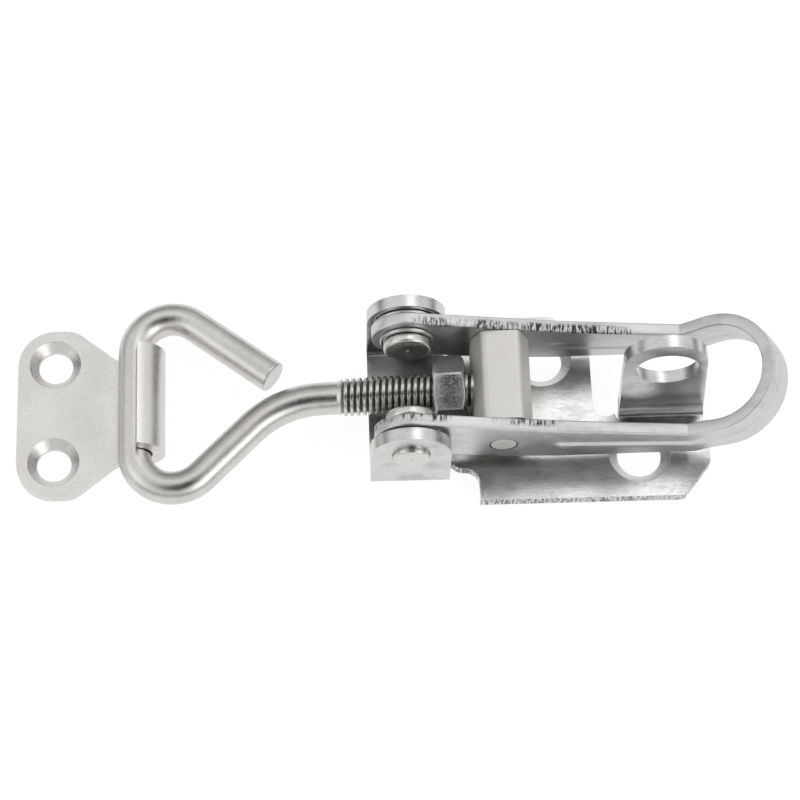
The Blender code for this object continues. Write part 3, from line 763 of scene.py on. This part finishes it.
def make_lever(sizes):
    """The lever: one strip on edge, whose section is carried along the wall, round the loop and back.

    A point is the top edge + depth times the way down - inset times the way out. A bead is pressed out
    of the outer face: its ridge falls off with the distance from a line along the strip, which starts
    with a round end.
    """
    top, low, out, travel = lever_edges()
    share, down, inward, sheared = strip_section()
    height = np.linalg.norm(low - top, axis=1)
    # the first and the last row have no height, and the corners beside them shrink to fit
    corner_fit = np.clip(height / (4 * LEVER_CORNER), 0.02, 1)[:, None]
    depth = share[None] * height[:, None] + down[None] * corner_fit
    way_down = (low - top) / np.maximum(height, 1e-9)[:, None]
    way_down[height < 1e-7] = (0, 0, -1)
    across = (share[None] - BEAD_PLACE) * height[:, None] / BEAD_HALF
    ahead = np.clip((BEAD_FROM + BEAD_HALF - travel) / BEAD_HALF, 0, None)[:, None]
    ridge = 1 - smooth(0.35, 1.0, np.sqrt(across**2 + ahead**2))
    faded = BEAD_LEFT + (1 - BEAD_LEFT) * (1 - smooth(*BEAD_FADE, travel)[:, None])
    by_face = np.where(inward < LEVER_WALL / 2, 1.0, BEAD_INSIDE)[None]
    inset = inward[None] - sizes.bead_depth * ridge * faded * by_face
    points = top[:, None] + depth[..., None] * way_down[:, None] - inset[..., None] * out[:, None]
    points += (PIVOT[0], 0, PIVOT[2])
    marks = sheared[None] * shear_marks(travel, out[:, 1] > 0)[:, None]
    rows, columns = depth.shape
    return add_mesh("lever_strip", points.reshape(-1, 3), quads(rows, columns), {"cut_edge": marks})


def close_ends(piece):
    """Fills the open loops at the two ends of a carried section."""
    work = bmesh.new()
    work.from_mesh(piece.data)
    open_edges = [edge for edge in work.edges if len(edge.link_faces) == 1]
    if open_edges:
        bmesh.ops.holes_fill(work, edges=open_edges, sides=0)
    bmesh.ops.recalc_face_normals(work, faces=work.faces)
    work.to_mesh(piece.data)
    work.free()
    return piece


RIVET_SHANK, RIVET_HEAD = 2.9 * MM, 3.75 * MM
HEAD_THICKNESS, HEAD_ROUND = 1.5 * MM, 0.45 * MM
JOURNAL_RADIUS = 2.0 * MM
PIVOT_GAP, JOURNAL_GAP = 0.08 * MM, 0.22 * MM  # between a shank and its hole
WASHER_ROUND = 0.16 * MM
DRILL_REACH = 15 * MM


def make_rivet(node, side):
    """A stub rivet: a flat head with a rounded rim inside, and a tail with a rolled rim outside."""
    low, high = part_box(node)
    inner, outer = sorted((abs(low.y), abs(high.y)))
    outline = [
        (0.0, inner),
        (RIVET_HEAD, inner),
        (RIVET_HEAD, inner + HEAD_THICKNESS),
        (RIVET_SHANK, inner + HEAD_THICKNESS),
        (RIVET_SHANK, outer),
        (0.0, outer),
    ]
    outline = round_corners(outline, HEAD_ROUND)
    outline[:, 0] = np.maximum(outline[:, 0], 0)
    return turned(f"{node}_turned", outline, (PIVOT[0], 0, PIVOT[2]), ACROSS * side)


def make_ring(node):
    """A flat washer with rounded rims."""
    low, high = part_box(node)
    radius = (high.x - low.x) / 2
    bore = RIVET_SHANK + PIVOT_GAP
    outline = [(bore, low.y), (radius, low.y), (radius, high.y), (bore, high.y)]
    return turned(f"{node}_ring", round_corners(outline, WASHER_ROUND), (PIVOT[0], 0, PIVOT[2]), ACROSS)


def make_drill(name, radius, centre):
    """A bar across the latch that is longer than the lever is wide, to cut a hole through both walls."""
    outline = [(0.0, -DRILL_REACH), (radius, -DRILL_REACH), (radius, DRILL_REACH), (0.0, DRILL_REACH)]
    return turned(name, outline, (centre[0], 0, centre[2]), ACROSS)


class LATCH_OT_base_plate(bpy.types.Operator):
    """Makes the pressed base plate with its ears and padlock eye"""

    bl_idname = "latch.base_plate"
    bl_label = "Base plate"

    def execute(self, context):
        sizes = context.scene.latch_sheet
        plate = softened_copy("base_plate_pressing", "base_plate", sizes.edge_round)
        mark_cut_edges(plate)
        look = context.scene.latch_finish
        material = metal(
            "polished base sheet",
            look.polished,
            look.polished_rough,
            shade=0.86,
            spread=0.05,
            swell=1.0 * MM,
            grain=0.02 * MM,
            edge=0.8,
            stain=0.35,
        )
        finish_piece(plate, "base", "base_plate", material)
        return {"FINISHED"}


class LATCH_OT_lever(bpy.types.Operator):
    """Makes the lever from one bent strip with a pressed bead"""

    bl_idname = "latch.lever"
    bl_label = "Lever"

    def execute(self, context):
        lever = close_ends(make_lever(context.scene.latch_sheet))
        pivot_drill = make_drill("pivot_hole", RIVET_SHANK + PIVOT_GAP, PIVOT)
        journal_drill = make_drill("journal_hole", JOURNAL_RADIUS + JOURNAL_GAP, TRUNNION)
        cut(lever, pivot_drill, journal_drill)
        look = context.scene.latch_finish
        material = metal(
            "polished lever strip",
            look.polished,
            look.polished_rough + 0.22,
            shade=0.92,
            spread=0.06,
            swell=0.5 * MM,
            grain=0.02 * MM,
            edge=1.0,
            stain=0.22,
        )
        finish_piece(lever, "lever", "lever", material)
        return {"FINISHED"}


class LATCH_OT_pivots(bpy.types.Operator):
    """Makes the two pivot rivets and their washers"""

    bl_idname = "latch.pivots"
    bl_label = "Rivets and washers"

    def execute(self, context):
        look = context.scene.latch_finish
        satin = metal(
            "satin rivet",
            look.satin,
            look.satin_rough - 0.04,
            shade=0.92,
            spread=0.05,
            swell=0.8 * MM,
            grain=0.02 * MM,
        )
        bright = metal(
            "bright washer",
            look.polished,
            look.polished_rough,
            shade=0.9,
            spread=0.04,
            swell=0.6 * MM,
            grain=0.02 * MM,
        )
        for name, side in (("near", -1), ("far", 1)):
            rivet = f"pivot_rivet_{name}"
            finish_piece(make_rivet(rivet, side), "base", rivet, satin)
            for kind in ("pivot_washer", "spacer_washer"):
                washer = f"{kind}_{name}"
                finish_piece(make_ring(washer), "base", washer, bright)
        return {"FINISHED"}


class LATCH_OT_trunnion(bpy.types.Operator):
    """Makes the trunnion that carries the bolt"""

    bl_idname = "latch.trunnion"
    bl_label = "Trunnion"

    def execute(self, context):
        look = context.scene.latch_finish
        material = metal(
            "satin trunnion",
            tuple(c * 1.12 for c in look.satin),
            look.satin_rough + 0.24,
            shade=0.95,
            spread=0.04,
            swell=0.3 * MM,
            grain=0.02 * MM,
            grain_turn=math.pi / 2,
        )
        trunnion = softened_copy("trunnion_block", "trunnion", context.scene.latch_sheet.trunnion_round)
        finish_piece(trunnion, "bolt", "trunnion", material)
        return {"FINISHED"}


class LATCH_OT_hook_bolt(bpy.types.Operator):
    """Makes the threaded hook bolt"""

    bl_idname = "latch.hook_bolt"
    bl_label = "Hook bolt"

    def execute(self, context):
        look = context.scene.latch_finish
        material = metal(
            "satin wire",
            look.satin,
            look.satin_rough - 0.1,
            shade=0.84,
            spread=0.06,
            swell=0.4 * MM,
            grain=0.03 * MM,
            # strength of the painted shade in the thread's roots
            root_shade=0.9,
        )
        finish_piece(make_hook_bolt(context.scene.latch_thread), "bolt", "hook_bolt", material)
        return {"FINISHED"}


class LATCH_OT_lock_nut(bpy.types.Operator):
    """Makes the hexagon lock nut"""

    bl_idname = "latch.lock_nut"
    bl_label = "Lock nut"

    def execute(self, context):
        look = context.scene.latch_finish
        material = metal(
            "bright nut",
            look.polished,
            look.polished_rough - 0.02,
            shade=0.8,
            spread=0.05,
            swell=0.6 * MM,
            grain=0.04 * MM,
            stain=0.3,
        )
        finish_piece(make_lock_nut(), "nut", "lock_nut", material)
        return {"FINISHED"}


class LATCH_OT_keeper(bpy.types.Operator):
    """Makes the keeper plate with its rolled hook"""

    bl_idname = "latch.keeper"
    bl_label = "Keeper"

    def execute(self, context):
        sizes = context.scene.latch_sheet
        keeper = softened_copy("keeper_pressing", "keeper", sizes.keeper_round)
        look = context.scene.latch_finish
        material = metal(
            "satin keeper sheet",
            tuple(c * 1.06 for c in look.satin),
            look.satin_rough - 0.04,
            shade=0.88,
            spread=0.06,
            swell=0.5 * MM,
            grain=0.02 * MM,
            grain_turn=math.pi / 2,
        )
        finish_piece(keeper, "keeper", "keeper", material)
        return {"FINISHED"}


CAMERA_AIM = Vector((-1.25, 0, 6)) * MM
CAMERA_DISTANCE = 0.410
CAMERA_TURN, CAMERA_RISE, CAMERA_ROLL = math.radians(-3.8), math.radians(66), math.radians(1.99)
VIEW_WIDTH = 126.984 * MM  # what the view takes in at the aim
SENSOR = 36.0
# each softbox's direction, its half width and soft rim in degrees, and its share of the brightness
SOFTBOXES = (
    ((0.68, -0.65, 0.60), 13, 10, 1.0),
    ((0.26, 0.41, 0.88), 7, 8, 0.8),
    ((-1.0, -0.2, 0.45), 10, 16, 0.4),
)
REAR = (-0.25, 1.0, 0.45)
HORIZON_DIM, REAR_DIM, LENS_DIM = 0.82, 0.5, 0.97  # the share of the light that each takes away
FLOOR_HALF, FLOOR_DROP = 1.2, 0.02 * MM
FLOOR_POINTS = 9  # along each side
FLOOR_SHADE = (0.14, 0.14, 0.14, 1)


def camera_axes():
    """Right, up and backward directions of the camera."""
    back = Vector(
        (
            math.sin(CAMERA_TURN) * math.cos(CAMERA_RISE),
            -math.cos(CAMERA_TURN) * math.cos(CAMERA_RISE),
            math.sin(CAMERA_RISE),
        )
    )
    right = Vector((0, 0, 1)).cross(back).normalized()
    up = back.cross(right)
    cos, sin = math.cos(CAMERA_ROLL), math.sin(CAMERA_ROLL)
    return cos * right + sin * up, cos * up - sin * right, back


def light_world(stage):
    """A white tent, as a sum and product of soft round patches on the sky.

    It is dark round the camera, dim at the rear and towards the horizon, and bright where the softboxes
    hang: in front, above and on the left.
    """
    world = bpy.data.worlds.new("tent")
    bpy.context.scene.world = world
    world.use_nodes = True
    s = Shader(world.node_tree)
    way = s.node("ShaderNodeTexCoord", output=0)

    def towards(direction):
        """Cosine of the angle from a direction."""
        inputs = {0: way, 1: tuple(Vector(direction).normalized())}
        return s.node("ShaderNodeVectorMath", {"operation": "DOT_PRODUCT"}, inputs, output=1)

    def patch(direction, wide, soft):
        """1 within wide degrees of a direction, fading to 0 over the next soft degrees."""
        inner, outer = math.cos(math.radians(wide)), math.cos(math.radians(wide + soft))
        return s.ramp(towards(direction), outer, inner)

    _, _, back = camera_axes()
    low = 1 - s.ramp(towards((0, 0, 1)), 0.06, 0.42)
    tent = (1 - low * HORIZON_DIM) * stage.tent
    for direction, wide, soft, share in SOFTBOXES:
        tent = tent + patch(direction, wide, soft) * (stage.softbox * share)
    tent = tent * (1 - patch(REAR, 16, 20) * REAR_DIM) * (1 - patch(back, 18, 13) * LENS_DIM)
    glow = s.node("ShaderNodeBackground", None, {"Color": (1, 1, 1, 1), "Strength": tent})
    s.node("ShaderNodeOutputWorld", None, {"Surface": glow})


class LATCH_OT_stage(bpy.types.Operator):
    """Makes the floor, the light and the camera"""

    bl_idname = "latch.stage"
    bl_label = "Stage"

    def execute(self, context):
        stage = context.scene.latch_stage
        across = np.linspace(-FLOOR_HALF, FLOOR_HALF, FLOOR_POINTS)
        x, y = np.meshgrid(across, across, indexing="ij")
        points = np.stack((x, y, np.full_like(x, -FLOOR_DROP)), -1)
        floor = add_mesh("floor", points.reshape(-1, 3), quads(FLOOR_POINTS, FLOOR_POINTS, False, False))
        if floor.data.polygons[0].normal.z < 0:
            floor.data.flip_normals()
        material = bpy.data.materials.new("lit floor")
        material.use_nodes = True
        s = Shader(material.node_tree)
        inputs = {
            "Base Color": FLOOR_SHADE,
            "Roughness": 0.9,
            "Emission Color": tuple(stage.floor) + (1.0,),
            "Emission Strength": stage.floor_glow,
        }
        surface = s.node("ShaderNodeBsdfPrincipled", None, inputs)
        s.node("ShaderNodeOutputMaterial", None, {"Surface": surface})
        floor.data.materials.append(material)
        light_world(stage)

        camera_data = bpy.data.cameras.new("camera")
        camera_data.sensor_width = SENSOR
        camera_data.lens = SENSOR * CAMERA_DISTANCE / VIEW_WIDTH
        camera_data.clip_start, camera_data.clip_end = 0.01, 10
        camera = bpy.data.objects.new("camera", camera_data)
        context.scene.collection.objects.link(camera)
        right, up, back = camera_axes()
        turn = Matrix((right, up, back)).transposed().to_4x4()
        camera.matrix_world = Matrix.Translation(CAMERA_AIM + back * CAMERA_DISTANCE) @ turn
        context.scene.camera = camera
        context.scene.view_settings.view_transform = "Standard"
        context.scene.view_settings.look = "None"
        return {"FINISHED"}


class LATCH_PT_pieces(bpy.types.Panel):
    """Lists the latch's operators"""

    bl_idname = "LATCH_PT_pieces"
    bl_label = "Toggle bolt latch"
    bl_space_type = "VIEW_3D"
    bl_region_type = "UI"
    bl_category = "Latch"

    def draw(self, context):
        for operator in OPERATORS:
            self.layout.operator(operator.bl_idname)
        for name, group in SETTINGS.items():
            box = self.layout.box()
            settings = getattr(context.scene, name)
            for prop in group.__annotations__:
                box.prop(settings, prop)


SETTINGS = {
    "latch_thread": LatchThreadSettings,
    "latch_sheet": LatchSheetSettings,
    "latch_finish": LatchFinishSettings,
    "latch_stage": LatchStageSettings,
}
OPERATORS = (
    LATCH_OT_stage,
    LATCH_OT_base_plate,
    LATCH_OT_lever,
    LATCH_OT_pivots,
    LATCH_OT_trunnion,
    LATCH_OT_hook_bolt,
    LATCH_OT_lock_nut,
    LATCH_OT_keeper,
)


def register():
    for group in SETTINGS.values():
        bpy.utils.register_class(group)
    for name, group in SETTINGS.items():
        setattr(bpy.types.Scene, name, PointerProperty(type=group))
    for operator in OPERATORS:
        bpy.utils.register_class(operator)
    bpy.utils.register_class(LATCH_PT_pieces)


def unregister():
    bpy.utils.unregister_class(LATCH_PT_pieces)
    for operator in reversed(OPERATORS):
        bpy.utils.unregister_class(operator)
    for name, group in SETTINGS.items():
        delattr(bpy.types.Scene, name)
        bpy.utils.unregister_class(group)


def main():
    register()
    bpy.ops.latch.stage()
    bpy.ops.latch.base_plate()
    bpy.ops.latch.lever()
    bpy.ops.latch.pivots()
    bpy.ops.latch.trunnion()
    bpy.ops.latch.hook_bolt()
    bpy.ops.latch.lock_nut()
    bpy.ops.latch.keeper()


if __name__ == "__main__":
    main()
